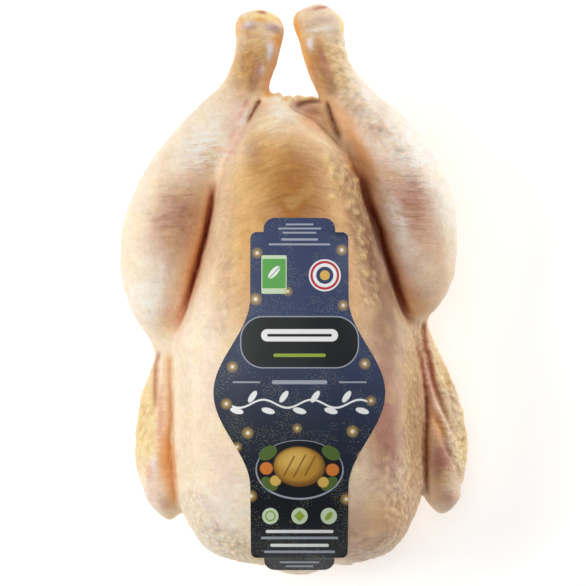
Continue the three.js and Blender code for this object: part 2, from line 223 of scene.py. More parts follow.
# Fine lines pressed in, or raised where the depth is below 0: path, depth and half
# width in mm, then the fade and lowest height where they aren't the usual ones
usualLine = [(0.3, 0.3), 0.05]
lines = [
    ([(-33.8, 102.7), (-26.7, 107.9), (-18.2, 111.2), (-7.8, 112.5), (2, 107.9), (13.7, 100.1)],
     0.7, 1.1, (0.3, 0.3), 0.08),
    ([(-31, 98.5), (-24, 102.5), (-15, 105), (-6, 105.5), (3, 102.5), (12, 97)], 0.55, 1.0, (0.3, 0.3), 0.08),
    ([(-30.6, 94.2), (-23.4, 96.9), (-15, 97.5), (-3.2, 97.5), (9.1, 96.2)], 0.6, 1.1, (0.3, 0.3), 0.08),
    ([(-38, 88), (-27, 91.5), (-14, 91), (0, 92), (12, 89)], 0.45, 1.1, (0.3, 0.3), 0.08),
    ([(-25, 116.5), (-17, 118), (-9, 118.5), (-1, 115)], 0.5, 1.0, (0.3, 0.3), 0.08),
    # left hock and shank
    ([(-33.5, 167), (-27, 165.5), (-19, 168.2), (-11, 166.5), (-4.5, 163)], 0.9, 1.1, (0.2, 0.2)),
    ([(-37, 162), (-32, 160.8), (-26, 161.8)], 1.1, 1.0, (0.25, 0.3)),
    ([(-26.5, 150), (-26, 143), (-28, 137), (-27, 131)], 1.6, 2.0, (0.25, 0.3)),
    ([(-31, 128), (-34.5, 122), (-32, 116)], 0.7, 1.2),
    # right hock and shank
    ([(5, 168.5), (14, 165.8), (22, 167), (31, 164)], 0.9, 1.2, (0.2, 0.25)),
    ([(15.5, 153), (17, 146), (20.5, 139), (22.5, 132)], 1.5, 2.0, (0.25, 0.3)),
    ([(9.5, 158), (11, 149), (15, 141)], 0.7, 1.3),
    # creases across the thighs
    ([(-92, 44), (-82, 46), (-72, 45), (-62, 47)], 0.5, 1.1),
    ([(-90, 38), (-80, 40.5), (-70, 39), (-62, 40)], 0.45, 1.0),
    ([(-88, 33), (-79, 34), (-70, 33.5)], 0.45, 1.0),
    ([(-70, 85), (-58, 87), (-49, 84), (-44, 79)], 0.7, 1.2),
    ([(-64, 76), (-54, 77.5), (-46, 76)], 0.5, 1.1),
    ([(-57, 122), (-49, 117), (-42, 110.5), (-36, 103)], 0.6, 1.2, (0.25, 0.3)),
    ([(60, 76), (68, 73.5), (76, 74)], 0.6, 1.1),
    ([(59, 71), (67, 68.5), (77, 69)], 0.6, 1.1),
    ([(62, 66), (70, 63), (79, 63.5)], 0.5, 1.1),
    ([(64, 60), (72, 56.5), (80, 56)], 0.4, 1.1),
    # tendon under the skin of the left thigh and the edge of the fat on the right
    ([(-57, 122), (-48, 117.5), (-40, 111), (-33, 104)], -0.6, 1.6),
    ([(55, 128), (72, 100), (84, 76), (90, 55)], -0.5, 4.0),
]

# Folds on the neck end (-1) and the tail end (1), drawn as seen from there: end,
# path of X and Z, depth and half width in mm, fade at both ends
endReach = {"inner": 0.09, "tail": 0.15}  # metres from the middle, short of the drumsticks
endFolds = [
    (-1, [(-50, 66), (-28, 53), (0, 48), (28, 52), (50, 66)], 2.2, 2.4, (0.25, 0.25)),
    (-1, [(-40, 47), (-16, 37), (10, 34), (38, 43)], 2.6, 2.2, (0.25, 0.25)),
    (-1, [(-22, 30), (0, 23), (24, 28)], 2.0, 2.0, (0.3, 0.3)),
    (-1, [(-36, 84), (-27, 68), (-22, 54)], 1.2, 2.2, (0.4, 0.2)),
    (-1, [(-4, 90), (2, 72), (1, 52)], 1.0, 2.4, (0.4, 0.2)),
    (-1, [(38, 86), (29, 70), (24, 55)], 1.2, 2.2, (0.4, 0.2)),
    (1, [(-22, 50), (-8, 44), (8, 44), (22, 50)], 3.2, 2.2, (0.2, 0.2)),
    (1, [(-17, 34), (0, 30), (17, 34)], 1.6, 2.0, (0.3, 0.3)),
    (1, [(-12, 62), (-9, 54), (-7, 46)], 1.2, 1.8, (0.4, 0.2)),
    (1, [(12, 62), (9, 54), (8, 46)], 1.2, 1.8, (0.4, 0.2)),
]

# Lumps: middle as seen, half sizes and rise in mm, turn in degrees if any
stripLumps = [
    ((20.8, 87.1), (3.2, 2.4), 1.4, -60), ((25.4, 80), (3.4, 2.6), 1.5, -60),
    ((28.6, 67), (4.4, 2.8), 1.7, -65), ((31.5, 73), (2.6, 2.2), 1.2), ((36.4, 57.2), (3.6, 2.6), 1.4, -60),
    ((41, 50.1), (3, 2.4), 1.4, -60), ((43.6, 39.6), (3.4, 2.4), 1.3, -70),
    ((45.5, 23.4), (3.4, 2.4), 1.2, -75), ((46.8, 9.8), (3.4, 2.4), 1.1, -80), ((34, 80), (2.4, 2.2), 1.1),
    ((24, 60), (2.6, 2.2), 0.9, 20), ((34.5, 66), (2.8, 2.4), 1.3, -60), ((39, 62), (2.6, 2), 1, -60),
    ((44.4, 31), (2.8, 2.2), 1.2, -70), ((40.2, 71), (2.4, 2), 0.9, -50),
]
lumps = stripLumps + [
    # fat at the tail end, between the legs
    ((-18, 125), (4.4, 3.6), 2.6, 10), ((-11, 124), (3.8, 4.4), 3.6, -10), ((-4, 122.5), (3.6, 4.6), 4),
    ((3, 123.5), (3.8, 3.2), 2.6, 10), ((11, 125), (4.6, 2.6), 1.6, -5), ((-24, 124), (3, 2.4), 1, 30),
    ((14, 113), (8, 6.5), 1.6, -35),
    # left hock and shank
    ((-29, 172), (4.5, 3.4), 0.9, 10), ((-12, 171.5), (5.5, 3.2), 0.9, -15),
    ((-15.5, 156), (4, 8.5), 1.3, -12), ((-22, 143), (2.6, 4), 1.2, -10), ((-30.5, 134), (2.8, 3.4), 1),
    ((-35, 150), (3.6, 8), 0.9, -14), ((-7.5, 150), (3, 9), 0.8, -8), ((-20, 133), (3, 3.4), 0.8, 20),
    # right hock and shank
    ((10, 172.5), (6, 3), 0.9, 15), ((26, 171), (5, 3.2), 0.9, -15), ((10.5, 156), (2.8, 6), 1.2, 8),
    ((25, 158), (6, 6), 0.8), ((28, 146), (4.5, 4), 1), ((33, 137), (4, 3.6), 0.9),
    # spot of fat on the left thigh, and the elbow ends of the wings
    ((-85, 14), (2.6, 3.6), 0.7, 10), ((-90, -128), (7, 9), 1.2), ((100, -134), (7, 8), 1.2),
]

# Crumpled skin: middle as seen, half sizes in mm, how strong, turn in degrees if any
crumpled = [
    ((66, -128), (16, 30), 1, 14), ((46, -164), (20, 12), 0.7, -22), ((-46, -160), (26, 12), 0.7, -30),
    ((28, 72), (9, 16), 0.9, 30), ((38, 46), (7, 24), 0.8, 16), ((47, 8), (6, 28), 0.7, 8),
    ((36, 128), (10, 18), 0.9, 28), ((54, 104), (12, 10), 0.7, 45), ((108, -78), (8, 34), 0.9, 10),
    ((-44, 20), (6, 44), 0.4, 4), ((-98, -84), (8, 40), 0.5), ((-34, 142), (5, 14), 0.6, -14),
]

# Tracts of feather pits: path as seen, half width, spacing, bump radius and rise in mm,
# stretch of the bumps along X, and how clearly they are set off
tracts = [
    ([(78, -28), (80, -60), (79.5, -95), (78, -125), (73, -148), (62, -165), (42, -175)],
     8, 3.3, 1.5, 0.6, 1.0, 1.0),
    ([(62, -112), (68, -130), (64, -146)], 8, 5.2, 2.1, 0.35, 1.2, 0.5),
    ([(-42, 60), (-44, 45), (-45, 20), (-47, -10), (-52, -26)], 6, 4.6, 1.5, 0.4, 1.7, 0.45),
    ([(-72, -40), (-71, -60), (-70, -90), (-70, -120)], 4, 4.6, 1.5, 0.4, 1.8, 0.5),
    ([(-66, -138), (-56, -156), (-40, -168), (-22, -175)], 9, 4.2, 1.9, 0.6, 1.2, 0.8),
    ([(30, 84), (36, 64), (43, 44), (47, 20), (49, -4)], 7, 5.0, 2.2, 0.8, 1.3, 0.7),
    ([(26, 160), (30, 146), (34, 133), (42, 118), (54, 104), (68, 92)], 7, 4.8, 2.0, 1.1, 1.2, 0.8),
    ([(62, 96), (72, 82), (79, 68)], 5, 4.0, 1.6, 0.4, 1.5, 0.5),
    ([(92, -28), (97, -60), (106, -92), (111, -118)], 7, 4.2, 1.9, 0.7, 1.0, 0.8),
    ([(-97, -52), (-100, -85), (-101, -112)], 6, 3.8, 1.6, 0.45, 1.0, 0.6),
    ([(-32, 160), (-34, 148), (-38, 136)], 5, 3.4, 1.5, 0.4, 1.2, 0.6),
]


def pick(piece):
    bpy.ops.object.select_all(action="DESELECT")
    piece.select_set(True)
    bpy.context.view_layer.objects.active = piece


def copyNode(node, name):
    piece = bpy.data.objects.new(name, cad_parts[node].data.copy())
    bpy.context.scene.collection.objects.link(piece)
    pick(piece)
    piece.data.materials.clear()
    bpy.ops.object.mode_set(mode="EDIT")
    bpy.ops.mesh.select_all(action="SELECT")
    bpy.ops.mesh.remove_doubles(threshold=0.00002)
    bpy.ops.object.mode_set(mode="OBJECT")
    return piece


def applyModifier(piece, kind, **settings):
    bpy.context.view_layer.objects.active = piece
    modifier = piece.modifiers.new(kind.title(), kind)
    for key, value in settings.items():
        setattr(modifier, key, value)
    bpy.ops.object.modifier_apply(modifier=modifier.name)


def strokeWeight(points, normals, seen, path, width, fade, above):
    distance, share, _ = alongPath(seen, path, width * 3)
    weight = np.exp(-(distance / width) ** 2) * fadeEnds(share, fade)
    weight[points[:, 2] < above] = 0
    return weight * smoothStep(normals[:, 2], -0.3, 0.2)


def endWeight(points, normals, end, path, width, fade):
    distance, share, _ = alongPath(points[:, [0, 2]] / mm, path, width * 3)
    along = points[:, 1] * end
    near = (along > endReach["inner"]) & ((end < 0) | (along < endReach["tail"]))
    weight = np.exp(-(distance / width) ** 2) * fadeEnds(share, fade) * near
    return weight * smoothStep(normals[:, 1] * end, 0.05, 0.35)


def pressFolds(piece):
    points, normals = readShape(piece.data)
    seen = seenFrom(points)
    move = np.zeros_like(points)
    for path, depth, width, fade, above, down in folds:
        weight = strokeWeight(points, normals, seen, path, width, fade, above)
        move -= (normals * (1 - down) + np.array([0, 0, down])) * (weight * depth * mm)[:, None]
    for path, rise, width, fade, above in ridges:
        weight = strokeWeight(points, normals, seen, path, width, fade, above)
        move += normals * (weight * rise * mm)[:, None]
    for end, path, depth, width, fade in endFolds:
        move -= normals * (endWeight(points, normals, end, path, width, fade) * depth * mm)[:, None]
    writePoints(piece.data, points + move)


def spreadPoints(points, weight, spacing):
    # Seeded picks among the points, none nearer to another than the spacing
    order = np.flatnonzero(weight > 0.35).tolist()
    random.shuffle(order)
    steps = [(a, b, c) for a in (0, -1, 1) for b in (0, -1, 1) for c in (0, -1, 1)]
    cells, picked = {}, []
    for i, (x, y, z) in zip(order, (points[order] / spacing).tolist()):
        cell = (math.floor(x), math.floor(y), math.floor(z))
        near = (spot for a, b, c in steps for spot in cells.get((cell[0] + a, cell[1] + b, cell[2] + c), ()))
        if all((x - u) ** 2 + (y - v) ** 2 + (z - w) ** 2 > 1 for u, v, w in near):
            cells.setdefault(cell, []).append((x, y, z))
            picked.append(points[i])
    return picked


def pitHeights(points, normals, seen):
    # Heights in mm of the bumps round the feather pits, and how strong the tracts are
    height = np.zeros(len(points))
    strength = np.zeros(len(points))
    for path, half, spacing, radius, rise, stretch, clear in tracts:
        squeeze = np.array([1 / stretch, 1, 1])
        distance, _, _ = alongPath(seen, path, half * 1.6)
        weight = 1 - smoothStep(distance, half * 0.6, half * 1.4)
        weight *= smoothStep(normals[:, 2], -0.25, 0.1) * (points[:, 2] > 0.02)
        picked = spreadPoints(points, weight, spacing * mm)
        tree = kdtree.KDTree(len(picked))
        sizes = [random.choice((0.15, 0.5, 0.8, 1.0, 1.35)) for _ in picked]
        wide = [random.uniform(0.7, 1.3) * radius for _ in picked]
        for i, p in enumerate(picked):
            tree.insert(p * squeeze, i)
        tree.balance()
        for i in np.flatnonzero(weight > 0.03):
            _, n, away = tree.find(points[i] * squeeze)
            height[i] = max(height[i], weight[i] * sizes[n] * rise * math.exp(-(away / mm / wide[n]) ** 2))
        strength = np.maximum(strength, weight * clear)
    return height, strength


def addDetails(piece):
    points, normals = readShape(piece.data)
    seen = seenFrom(points)
    height = np.zeros(len(points))
    for path, depth, width, *rest in lines:
        fade, above = rest + usualLine[len(rest):]
        height -= depth * strokeWeight(points, normals, seen, path, width, fade, above)
    upward = smoothStep(normals[:, 2], -0.35, 0.1) * (points[:, 2] > 0.03)
    for at, size, rise, *turn in lumps:
        height += rise * upward * ovalWeight(seen, at, size, *turn)
    pits, strength = pitHeights(points, normals, seen)
    height += pits
    above = smoothStep(points[:, 2], 0.002, 0.02)
    folded = grain(points * np.array([0.35, 1, 0.6]), 0.006, 3.1)
    height += above * (0.6 * grain(points, 0.030) + 0.25 * grain(points, 0.011, 7.3))
    height += above * (0.16 * folded + 0.12 * grain(points, 0.0045, 1.7) * strength)
    crumple = np.zeros(len(points))
    for at, size, amount, *turn in crumpled:
        crumple = np.maximum(crumple, amount * upward * ovalWeight(seen, at, size, *turn))
    ridge = 1 - 2.4 * abs(grain(points * np.array([0.8, 1, 0.8]), 0.0085, 12.4))
    ridge = 0.4 * ridge + 1.1 * smoothStep(grain(points, 0.0058, 4.9), -0.25, 0.55) - 0.5
    height += 0.85 * crumple * ridge
    writePoints(piece.data, points + normals * (height * mm)[:, None])
    return {"strength": strength, "pits": pits, "folded": folded, "ridge": crumple * ridge}


def keepFlat(mesh):
    # Hold the flat back in place while the rest is rounded off
    flat = readValues(mesh.vertices, "co")[:, 2] < 0.05 * mm
    ends = np.empty(len(mesh.edges) * 2, np.int32)
    mesh.edges.foreach_get("vertices", ends)
    crease = flat[ends.reshape(-1, 2)].all(axis=1).astype(np.float32)
    mesh.attributes.new("crease_edge", "FLOAT", "EDGE").data.foreach_set("value", crease)


def makeSkin():
    piece = copyNode("chicken", "capon_skin")
    keepFlat(piece.data)
    applyModifier(piece, "SUBSURF", levels=1, render_levels=1)
    applyModifier(piece, "REMESH", mode="VOXEL", voxel_size=skinSet["roughVoxel"])
    applyModifier(piece, "SMOOTH", factor=0.5, iterations=skinSet["roughSmoothing"])
    pressFolds(piece)
    applyModifier(piece, "REMESH", mode="VOXEL", voxel_size=skinSet["fineVoxel"])
    applyModifier(piece, "SMOOTH", factor=0.5, iterations=skinSet["fineSmoothing"])
    print("skin form:", len(piece.data.polygons), "faces")
    return piece


# Label: the card on the breast

labelSet = {
    "middleX": 3.4, "topY": 45.5, "bottomY": -181.0,
    "tabHalf": 22.6, "tabLength": 9.0, "tabCorner": 7.0,
    "neckHalf": 31.0, "neckCorner": 4.0,
    "middleHalf": 54.3, "middleY": -65.0, "waveReach": 60.0,
    "rowStep": 2.2, "columns": 44, "smoothing": 40,
    "thickness": 0.45, "gap": 0.25,
    "sideShare": 0.985, "endInset": 0.4,  # the card's height is read just inside its edge
}
rayTop = 0.3  # metres, well above the bird


def cornerCut(distance, radius):
    left = max(radius - distance, 0)
    return radius - math.sqrt(max(radius * radius - left * left, 0))


def labelHalf(y):
    s = labelSet
    fromEnd = min(s["topY"] - y, y - s["bottomY"])
    if fromEnd < s["tabLength"]:
        return s["tabHalf"] - cornerCut(fromEnd, s["tabCorner"])
    neck = s["neckHalf"] - cornerCut(fromEnd - s["tabLength"], s["neckCorner"])
    wave = min(abs(y - s["middleY"]) / s["waveReach"], 1)
    return neck + (s["middleHalf"] - s["neckHalf"]) * (0.5 + 0.5 * math.cos(math.pi * wave))


def labelRows():
    s = labelSet
    near = [s["tabCorner"] * t for t in (0, 0.03, 0.1, 0.2, 0.35, 0.55, 0.75, 1)] + [s["tabLength"] - 0.05]
    near += [s["tabLength"] + s["neckCorner"] * t for t in (0, 0.03, 0.1, 0.25, 0.45, 0.7, 1)]
    top, bottom = s["topY"] - near[-1], s["bottomY"] + near[-1]
    count = round((top - bottom) / s["rowStep"])
    middle = [top + (bottom - top) * i / count for i in range(1, count)]
    return [s["topY"] - d for d in near] + middle + [s["bottomY"] + d for d in reversed(near)]


def evenOut(heights, rows, rounds):
    # Smooth the card's height over its grid, where the rows aren't evenly spaced
    values = heights.copy()
    steps = np.diff(rows)
    for _ in range(rounds):
        across = values.copy()
        across[:, 1:-1] = 0.25 * values[:, :-2] + 0.5 * values[:, 1:-1] + 0.25 * values[:, 2:]
        values = across
        before, after = -steps[:-1, None], -steps[1:, None]
        straight = (values[:-2] * after + values[2:] * before) / (before + after)
        pull = 0.5 * np.minimum(np.minimum(before, after) / labelSet["rowStep"], 1)
        values[1:-1] += pull * (straight - values[1:-1])
    return values


def cardBelow(card, x, y):
    return card.ray_cast(Vector((x, y, rayTop)), Vector((0, 0, -1)))[0]


def makeLabel():
    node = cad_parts["label"]
    card = BVHTree.FromObject(node, bpy.context.evaluated_depsgraph_get())
    rows, columns = labelRows(), labelSet["columns"]
    spots = np.array([[(labelSet["middleX"] + labelHalf(y) * (2 * i / columns - 1), y)
                       for i in range(columns + 1)] for y in rows]) * mm
    heights = np.full(spots.shape[:2], np.nan)
    middle = labelSet["middleX"] * mm
    lowest = (labelSet["bottomY"] + labelSet["endInset"]) * mm
    highest = (labelSet["topY"] - labelSet["endInset"]) * mm
    for r in range(len(rows)):
        for i in range(columns + 1):
            inside = middle + (spots[r, i, 0] - middle) * labelSet["sideShare"]
            hit = cardBelow(card, inside, float(np.clip(spots[r, i, 1], lowest, highest)))
            heights[r, i] = hit.z if hit else np.nan
    heights = np.where(np.isnan(heights), heights[:, [columns // 2]], heights)
    heights = evenOut(heights, np.array(rows), labelSet["smoothing"])
    corners = [(*spots[r, i], heights[r, i]) for r in range(len(rows)) for i in range(columns + 1)]
    wide = columns + 1
    faces = [(r * wide + i, (r + 1) * wide + i, (r + 1) * wide + i + 1, r * wide + i + 1)
             for r in range(len(rows) - 1) for i in range(columns)]
    mesh = bpy.data.meshes.new("card_label")
    mesh.from_pydata(corners, [], faces)
    seen = seenFrom(np.array(corners))
    layer = mesh.uv_layers.new(name="print")
    for polygon in mesh.polygons:
        for loop in polygon.loop_indices:
            layer.data[loop].uv = seen[mesh.loops[loop].vertex_index]
    piece = bpy.data.objects.new("card_label", mesh)
    bpy.context.scene.collection.objects.link(piece)
    mesh.materials.append(printMaterial())
    mesh.materials.append(plainMaterial("card_edge", (214, 214, 210), 0.6))
    applyModifier(piece, "SOLIDIFY", thickness=labelSet["thickness"] * mm, offset=-1,
                  material_offset=1, material_offset_rim=1)
    pick(piece)
    bpy.ops.object.shade_smooth_by_angle(angle=math.radians(40))
    print("label:", len(mesh.polygons), "faces")
    return piece


def newMaterial(name):
    material = bpy.data.materials.new(name)
    material.use_nodes = True
    return material, material.node_tree, material.node_tree.nodes["Principled BSDF"]


def isSocket(value):
    return isinstance(value, bpy.types.NodeSocket)


def setInputs(node, values):
    # Values that are sockets are linked to the node, and others are set on it
    for name, value in values.items():
        if isSocket(value):
            node.id_data.links.new(value, node.inputs[name])
        else:
            node.inputs[name].default_value = value
    return node


def plainMaterial(name, colour, roughness, **more):
    material, _, shader = newMaterial(name)
    setInputs(shader, {"Base Color": (*linear(colour), 1), "Roughness": roughness, **more})
    return material


def addNode(tree, kind, values=(), **settings):
    node = tree.nodes.new("ShaderNode" + kind)
    for key, value in settings.items():
        setattr(node, key, value)
    return setInputs(node, dict(values))


def calc(operation, *values, clamp=False):
    # A math node, in the node tree of the sockets that it reads
    tree = next(value.id_data for value in values if isSocket(value))
    return addNode(tree, "Math", enumerate(values), operation=operation, use_clamp=clamp).outputs[0]


def plus(a, b):
    return calc("ADD", a, b)


def minus(a, b, clamp=False):
    return calc("SUBTRACT", a, b, clamp=clamp)


def times(a, b):
    return calc("MULTIPLY", a, b)


def mixColour(share, *colours):
    below, above = [colour if isSocket(colour) else (*colour, 1) for colour in colours]
    return addNode(share.id_data, "Mix", {0: share, 6: below, 7: above}, data_type="RGBA").outputs[2]


def lengthOf(u, v):
    return calc("SQRT", plus(times(u, u), times(v, v)))


def shapeGroup(kind):
    # Node group: 1 inside a shape, 0 outside, with an edge of the given softness in mm
    tree = bpy.data.node_groups.new("shape_" + kind, "ShaderNodeTree")
    for name in ("X", "Y", "At X", "At Y", "Half", "Tall", "Turn", "Soft", "Corner", "Pitch"):
        tree.interface.new_socket(name, in_out="INPUT", socket_type="NodeSocketFloat")
    tree.interface.new_socket("Mask", in_out="OUTPUT", socket_type="NodeSocketFloat")
    given = tree.nodes.new("NodeGroupInput").outputs
    dx, dy = minus(given["X"], given["At X"]), minus(given["Y"], given["At Y"])
    c, s = calc("COSINE", given["Turn"]), calc("SINE", given["Turn"])
    u, v = plus(times(dx, c), times(dy, s)), minus(times(dy, c), times(dx, s))
    half, tall, corner = given["Half"], given["Tall"], given["Corner"]
    if kind == "oval":
        away = lengthOf(calc("DIVIDE", u, half), calc("DIVIDE", v, tall))
        edge = times(minus(away, 1), calc("MINIMUM", half, tall))
    elif kind == "ring":
        edge = minus(calc("ABSOLUTE", minus(lengthOf(u, v), half)), tall)
    elif kind == "wave":
        swing = times(calc("SINE", times(u, given["Pitch"])), tall)
        line = minus(calc("ABSOLUTE", minus(v, swing)), corner)
        edge = calc("MAXIMUM", line, minus(calc("ABSOLUTE", u), half))
    else:
        u = plus(minus(calc("ABSOLUTE", u), half), corner)
        v = plus(minus(calc("ABSOLUTE", v), tall), corner)
        outer = lengthOf(calc("MAXIMUM", u, 0), calc("MAXIMUM", v, 0))
        edge = minus(plus(outer, calc("MINIMUM", calc("MAXIMUM", u, v), 0)), corner)
    mask = minus(0.5, calc("DIVIDE", edge, given["Soft"]), clamp=True)
    tree.links.new(mask, tree.nodes.new("NodeGroupOutput").inputs[0])
    return tree


inks = {
    "navy": (56, 68, 102), "night": (34, 42, 60), "ink": (14, 18, 27), "coal": (27, 29, 31),
    "white": (244, 245, 244), "silver": (164, 170, 182), "green": (96, 170, 84), "mint": (208, 226, 194),
    "lime": (150, 176, 62), "red": (192, 52, 60), "gold": (190, 142, 54), "honey": (222, 182, 92),
    "bronze": (128, 88, 32), "orange": (218, 126, 54), "leaf": (84, 108, 48),
}

# Print: fields and simple shapes, with places and half sizes in mm as seen
printX = 3.6


def box(ink, x, y, half, tall, **more):
    return ink, "box", (x, y), (half, tall), more


def oval(ink, x, y, half, tall, **more):
    return ink, "oval", (x, y), (half, tall), more


printShapes = [
    # small bars on the upper tongue
    *(box("silver", printX, y, half, 0.55) for y, half in ((42.6, 9), (39.9, 14), (37.2, 11))),
    box("silver", printX, 32.8, 12, 0.7), box("silver", printX, 29.6, 20, 0.6),
    # a green field and a round seal
    box("mint", -13, 10, 8.2, 12.5, corner=1.2), box("green", -13, 10.6, 7.6, 9.6, corner=0.8),
    oval("white", -13, 11.4, 5.2, 2.2, turn=48), box("green", -13, 11, 5.4, 0.3, turn=48, corner=0.2),
    oval("white", 20, 9.5, 10.4, 10.4), ("red", "ring", (20, 9.5), (8.6, 0.8), {}),
    oval("navy", 20, 9.5, 5.6, 5.6), oval("honey", 20, 9.5, 3.2, 3.2),
    # the dark plate with its bars
    box("silver", printX, -34, 38.6, 17.0, corner=15.0), box("coal", printX, -34, 37.9, 16.3, corner=14.4),
    box("white", printX, -29.5, 25, 4.0, corner=4.0), box("coal", printX, -29.5, 21, 0.9, corner=0.8),
    box("lime", printX, -42.5, 17, 1.1, corner=1.0),
    # a garland of leaves
    ("white", "wave", (printX, -74), (44, 2.6), {"pitch": 0.2, "corner": 0.65}),
]
for n in range(9):
    side = 1 if n % 2 else -1
    leafX = printX + (n - 4) * 10.2
    printShapes.append(oval("white", leafX, -74 + side * 4.6, 4.4, 1.9, turn=35 * side + 20))
printShapes += [
    box("silver", -31, -60, 9, 0.5), box("silver", 38.2, -60, 9, 0.5),
    box("silver", printX, -60, 18, 1.3, corner=1.2),
    # a round golden loaf on a dish, with fruit round it
    oval("silver", printX, -117, 28.6, 19.4), oval("ink", printX, -116.6, 27.8, 18.6),
    oval("leaf", -17, -106, 6.4, 4.2, turn=30), oval("leaf", 24, -106, 6.4, 4.2, turn=-30),
    oval("leaf", -16, -126, 6.0, 3.6, turn=-35), oval("leaf", 23, -126, 6.0, 3.6, turn=35),
    oval("orange", -18, -116, 4.2, 4.0, soft=0.8), oval("honey", -12, -124, 3.6, 3.4, soft=0.8),
    oval("orange", 25, -117, 4.2, 4.0, soft=0.8), oval("honey", 19, -125, 3.6, 3.4, soft=0.8),
    oval("bronze", printX, -115, 16.6, 12.8, soft=0.8), oval("gold", 2.8, -113.8, 14.8, 11.0, soft=3),
    oval("honey", 0, -110.4, 9.4, 6.0, soft=5, turn=12),
    *(box("bronze", x, -114.5, half, 0.45, turn=62, soft=0.8)
      for x, half in ((-3.2, 7.5), (printX, 8.6), (10.4, 7.5))),
    # discs and bars at the foot
    *(oval("mint", x, -147, 5.3, 5.3) for x in (-15.4, printX, 22.6)),
    ("lime", "ring", (-15.4, -147), (3.0, 0.5), {}),
    box("lime", printX, -147, 2.6, 2.6, turn=45, corner=0.6), oval("lime", 22.6, -147, 3.4, 1.7, turn=50),
    box("white", printX, -157, 22, 1.0, corner=0.9), box("silver", printX, -161.2, 25, 0.8),
    box("white", printX, -166, 19, 1.0, corner=0.9), box("silver", printX, -170.2, 23, 0.8),
    box("silver", printX, -177, 13, 0.5), box("silver", printX, -179.6, 9, 0.5),
]
for place in [(-24, 24), (31, 26), (-25, -6), (32, -10), (-40, -50), (46, -48), (50, -72), (-44, -74),
              (-30, -93), (38, -92), (-37, -102), (44, -108), (2, -90), (-28, -134), (34, -136), (-4, -1)]:
    size = random.uniform(0.55, 1.05)
    printShapes.append(oval("honey", *place, 2.4 * size, 2.4 * size, soft=4.5))
    printShapes.append(oval("white", *place, 1.1 * size, 1.1 * size, soft=1.2))


printSet = {
    "ground": [(0, "ink"), (0.22, "ink"), (0.42, "night"), (0.7, "navy"), (1, "navy")],
    "lowest": -188, "height": 236, "lean": 0.25,
    "dustSize": 0.2, "dustFrom": 0.72, "dustStrength": 0.75,
    "finish": {"Roughness": 0.48, "Specular IOR Level": 0.3},
}


def printMaterial():
    material, tree, shader = newMaterial("label_print")
    uv = addNode(tree, "UVMap", uv_map="print").outputs[0]
    x, y, _ = addNode(tree, "SeparateXYZ", {0: uv}).outputs
    rise = plus(plus(y, times(x, printSet["lean"])), -printSet["lowest"])
    ramp = addNode(tree, "ValToRGB", {0: calc("DIVIDE", rise, printSet["height"])})
    stops = ramp.color_ramp.elements
    while len(stops) < len(printSet["ground"]):
        stops.new(0.5)
    for stop, (place, ink) in zip(stops, printSet["ground"]):
        stop.position = place
        stop.color = (*linear(inks[ink]), 1)
    # sparse dots of coloured dust
    cells = addNode(tree, "TexVoronoi", {"Vector": uv, "Scale": 0.95}, voronoi_dimensions="2D")
    drift = addNode(tree, "TexNoise", {"Vector": uv, "Scale": 0.045, "Detail": 3.0}, noise_dimensions="2D")
    draw = addNode(tree, "SeparateColor", {0: cells.outputs["Color"]}).outputs
    dots = calc("LESS_THAN", cells.outputs["Distance"], printSet["dustSize"])
    dense = calc("GREATER_THAN", plus(drift.outputs[0], times(draw[0], 0.28)), printSet["dustFrom"])
    dust = mixColour(calc("GREATER_THAN", draw[1], 0.5), linear((170, 150, 100)), linear((110, 150, 160)))
    colour = mixColour(times(times(dots, dense), printSet["dustStrength"]), ramp.outputs[0], dust)
    groups = {kind: shapeGroup(kind) for kind in ("oval", "ring", "wave", "box")}
    for ink, kind, at, size, more in printShapes:
        shape = addNode(tree, "Group", {
            "X": x, "Y": y, "At X": at[0], "At Y": at[1], "Half": size[0], "Tall": size[1],
            "Turn": math.radians(more.get("turn", 0)), "Soft": more.get("soft", 0.3),
            "Corner": more.get("corner", 0.5), "Pitch": more.get("pitch", 0.2),
        }, node_tree=groups[kind])
        colour = mixColour(shape.outputs[0], colour, linear(inks[ink]))
    setInputs(shader, {"Base Color": colour, **printSet["finish"]})
    return material


def tuckSkin(points, label):
    # Keep the skin just below the card wherever the card lies over it
    card = BVHTree.FromObject(label, bpy.context.evaluated_depsgraph_get())
    covered = np.zeros(len(points), bool)
    for i in np.flatnonzero(points[:, 2] > 0.05):
        hit = cardBelow(card, *points[i, :2])
        if hit:
            points[i, 2] = min(points[i, 2], hit.z - (labelSet["thickness"] + labelSet["gap"]) * mm)
            covered[i] = True
    return covered


# Colours of the skin, with light and shade painted into them

tones = {
    "tan": (218, 160, 90), "gold": (166, 106, 40), "honey": (224, 168, 76), "cream": (250, 228, 196),
    "ivory": (254, 236, 216), "butter": (254, 224, 152), "pink": (222, 176, 148), "mauve": (178, 118, 100),
    "rose": (230, 164, 142), "brown": (128, 78, 42), "amber": (236, 166, 44), "lilac": (206, 172, 168),
    "pearl": (240, 230, 230), "brick": (170, 78, 38), "umber": (110, 30, 8), "apricot": (232, 164, 96),
    "white": (255, 243, 230), "blood": (184, 62, 50), "blush": (248, 220, 200), "under": (234, 200, 160),
    "straw": (250, 214, 160),
}
